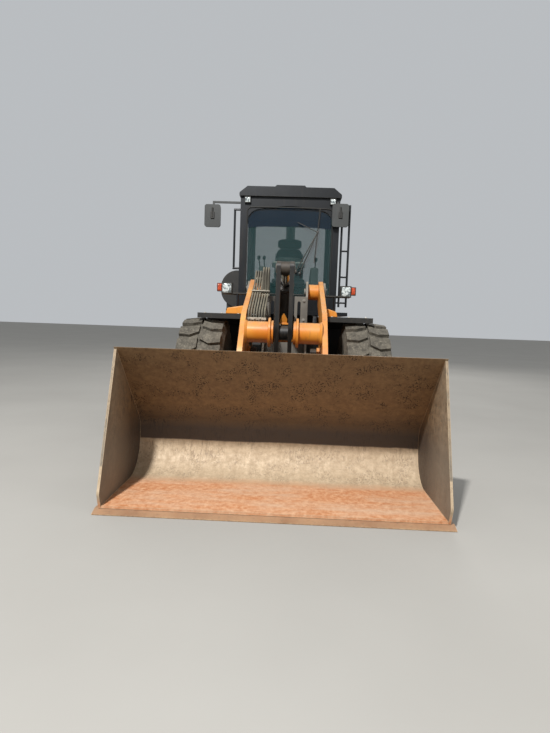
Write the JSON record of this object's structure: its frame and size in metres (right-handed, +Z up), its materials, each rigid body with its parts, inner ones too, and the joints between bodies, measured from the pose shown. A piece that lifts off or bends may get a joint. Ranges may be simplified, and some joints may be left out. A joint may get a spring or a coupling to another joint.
{
  "type": "articulated wheel loader",
  "caption": "Articulated wheel loader with a hinged two-part frame, a Z-bar linkage, a wide bucket, a tall cab and lugged tyres.",
  "frame": {"origin": "centre of the bounding box at the ground", "axes": "+Z up, -Y towards the bucket, +X towards the machine's left side"},
  "size_m": [2.7, 7.39, 3.34],
  "materials": {
    "machine_orange": "satin",
    "frame_grey": "satin",
    "worn_steel": "worn",
    "edge_steel": "worn",
    "pin_steel": "satin",
    "rod_chrome": "polished",
    "cab_black": "satin",
    "weight_grey": "satin",
    "engine_iron": "rough",
    "cab_window": "gloss",
    "seat_cloth": "matte",
    "console_plastic": "matte",
    "lamp_plastic": "gloss",
    "tyre_rubber": "matte",
    "rim_paint": "satin",
    "hose_rubber": "matte"
  },
  "bodies": {
    "rear_frame": {"rear_frame": "frame_grey", "rear_axle": "frame_grey", "engine_block": "engine_iron", "counterweight": "weight_grey", "rear_fenders": "cab_black", "side_tanks": "machine_orange", "steps": "cab_black", "cab_floor": "cab_black", "cab_frame": "cab_black", "cab_roof": "cab_black", "cab_glass": "cab_window", "seat": "seat_cloth", "steering_console": "console_plastic", "handrails": "cab_black", "mirrors": "cab_black", "roof_lamps": "lamp_plastic", "cooling_cowl": "machine_orange", "exhaust_stack": "cab_black", "oil_tank": "cab_black"},
    "hood": {"hood": "machine_orange", "hood_grille": "cab_black"},
    "cab_door": {"cab_door": "cab_black", "door_glass": "cab_window"},
    "front_frame": {"front_frame": "frame_grey", "front_axle": "frame_grey", "front_fenders": "cab_black", "headlamps": "lamp_plastic", "hinge_pins": "pin_steel"},
    "boom": {"boom_arms": "machine_orange", "boom_cross_tube": "machine_orange", "boom_hoses": "hose_rubber"},
    "bucket_pins": {"bucket_pins": "pin_steel"},
    "bucket": {"bucket_shell": "worn_steel", "cutting_edge": "edge_steel"},
    "crank_pin": {"crank_pin": "pin_steel"},
    "bellcrank": {"bellcrank": "frame_grey"},
    "foot_pin": {"foot_pin": "pin_steel"},
    "crank_link": {"crank_link": "frame_grey"},
    "tilt_barrel": {"tilt_barrel": "frame_grey"},
    "tilt_rod": {"tilt_rod": "rod_chrome"},
    "lift_barrels": {"lift_barrels": "frame_grey"},
    "lift_rods": {"lift_rods": "rod_chrome"},
    "steer_barrel_left": {"steer_barrel_left": "frame_grey"},
    "steer_rod_left": {"steer_rod_left": "rod_chrome"},
    "wheel_front_left": {"tyre_front_left": "tyre_rubber", "rim_front_left": "rim_paint"},
    "wheel_rear_left": {"tyre_rear_left": "tyre_rubber", "rim_rear_left": "rim_paint"},
    "steer_barrel_right": {"steer_barrel_right": "frame_grey"},
    "steer_rod_right": {"steer_rod_right": "rod_chrome"},
    "wheel_front_right": {"tyre_front_right": "tyre_rubber", "rim_front_right": "rim_paint"},
    "wheel_rear_right": {"tyre_rear_right": "tyre_rubber", "rim_rear_right": "rim_paint"}
  },
  "joints": [
    {"name": "articulation", "type": "hinge", "parent": "rear_frame", "child": "front_frame", "pos_m": [0, 0.385, 0.88], "axis": [0, 0, 1], "range_deg": [-40, 40]},
    {"name": "boom_lift", "type": "hinge", "parent": "front_frame", "child": "boom", "pos_m": [0, -0.665, 1.86], "axis": [-1, 0, 0], "range_deg": [0, 90]},
    {"name": "bucket_level", "type": "hinge", "parent": "boom", "child": "bucket_pins", "pos_m": [0, -2.525, 0.4], "axis": [-1, 0, 0], "range_deg": [-88.3, 0]},
    {"name": "bucket_tilt", "type": "hinge", "parent": "bucket_pins", "child": "bucket", "pos_m": [0, -2.525, 0.4], "axis": [-1, 0, 0], "range_deg": [-50, 42]},
    {"name": "crank_level", "type": "hinge", "parent": "boom", "child": "crank_pin", "pos_m": [0, -1.915, 1.358], "axis": [-1, 0, 0], "range_deg": [0, 33.85]},
    {"name": "crank_tilt", "type": "hinge", "parent": "crank_pin", "child": "bellcrank", "pos_m": [0, -1.915, 1.358], "axis": [-1, 0, 0], "range_deg": [-15.18, 18.05]},
    {"name": "link_level", "type": "hinge", "parent": "bellcrank", "child": "foot_pin", "pos_m": [0, -1.675, 0.631], "axis": [-1, 0, 0], "range_deg": [-45.1, 0]},
    {"name": "link_tilt", "type": "hinge", "parent": "foot_pin", "child": "crank_link", "pos_m": [0, -1.675, 0.631], "axis": [-1, 0, 0], "range_deg": [-14.5, 12.2]},
    {"name": "tilt_barrel_swing", "type": "hinge", "parent": "front_frame", "child": "tilt_barrel", "pos_m": [0, -0.796, 1.49], "axis": [-1, 0, 0], "range_deg": [0, 77.04]},
    {"name": "tilt_rod_slide", "type": "slide", "parent": "tilt_barrel", "child": "tilt_rod", "axis": [0, -0.9045, 0.4266], "range_m": [-0.19, 0.16]},
    {"name": "lift_barrel_swing", "type": "hinge", "parent": "front_frame", "child": "lift_barrels", "pos_m": [0, -0.315, 0.9], "axis": [-1, 0, 0], "range_deg": [0, 48.74]},
    {"name": "lift_rod_slide", "type": "slide", "parent": "lift_barrels", "child": "lift_rods", "axis": [0, -0.9836, 0.1803], "range_m": [0, 0.93]},
    {"name": "steer_barrel_left_swing", "type": "hinge", "parent": "rear_frame", "child": "steer_barrel_left", "pos_m": [0.38, 1.075, 0.88], "axis": [0, 0, 1], "range_deg": [-13.74, 13.74]},
    {"name": "steer_barrel_right_swing", "type": "hinge", "parent": "rear_frame", "child": "steer_barrel_right", "pos_m": [-0.38, 1.075, 0.88], "axis": [0, 0, 1], "range_deg": [-13.74, 13.74]},
    {"name": "steer_rod_left_slide", "type": "slide", "parent": "steer_barrel_left", "child": "steer_rod_left", "axis": [0.0048, -1, 0], "range_m": [-0.266, 0.266]},
    {"name": "steer_rod_right_slide", "type": "slide", "parent": "steer_barrel_right", "child": "steer_rod_right", "axis": [-0.0048, -1, 0], "range_m": [-0.266, 0.266]},
    {"name": "wheel_front_left", "type": "hinge", "parent": "front_frame", "child": "wheel_front_left", "pos_m": [0.96, -1.065, 0.745], "axis": [1, 0, 0], "continuous": true},
    {"name": "wheel_front_right", "type": "hinge", "parent": "front_frame", "child": "wheel_front_right", "pos_m": [-0.96, -1.065, 0.745], "axis": [1, 0, 0], "continuous": true},
    {"name": "wheel_rear_left", "type": "hinge", "parent": "rear_frame", "child": "wheel_rear_left", "pos_m": [0.96, 1.835, 0.745], "axis": [1, 0, 0], "continuous": true},
    {"name": "wheel_rear_right", "type": "hinge", "parent": "rear_frame", "child": "wheel_rear_right", "pos_m": [-0.96, 1.835, 0.745], "axis": [1, 0, 0], "continuous": true},
    {"name": "hood", "type": "hinge", "parent": "rear_frame", "child": "hood", "pos_m": [0, 1.979, 2.062], "axis": [1, 0, 0], "range_deg": [0, 60]},
    {"name": "cab_door", "type": "hinge", "parent": "rear_frame", "child": "cab_door", "pos_m": [0.704, 0.945, 2.4], "axis": [0, 0, 1], "range_deg": [0, 165]}
  ],
  "couplings": [
    {"joint": "bucket_level", "follows": "boom_lift", "ratio": -0.98},
    {"joint": "crank_level", "follows": "boom_lift", "ratio": 0.375},
    {"joint": "crank_tilt", "follows": "bucket_tilt", "ratio": -0.359},
    {"joint": "link_level", "follows": "boom_lift", "ratio": -0.5},
    {"joint": "link_tilt", "follows": "bucket_tilt", "ratio": 0.288},
    {"joint": "tilt_barrel_swing", "follows": "boom_lift", "ratio": 0.8549},
    {"joint": "tilt_rod_slide", "follows": "bucket_tilt", "m_per_rad": 0.2146},
    {"joint": "lift_barrel_swing", "follows": "boom_lift", "ratio": 0.5404},
    {"joint": "lift_rod_slide", "follows": "boom_lift", "m_per_rad": 0.59},
    {"joint": "steer_barrel_left_swing", "follows": "articulation", "ratio": 0.3411},
    {"joint": "steer_barrel_right_swing", "follows": "articulation", "ratio": 0.3411},
    {"joint": "steer_rod_left_slide", "follows": "articulation", "m_per_rad": -0.377},
    {"joint": "steer_rod_right_slide", "follows": "articulation", "m_per_rad": 0.377}
  ]
}
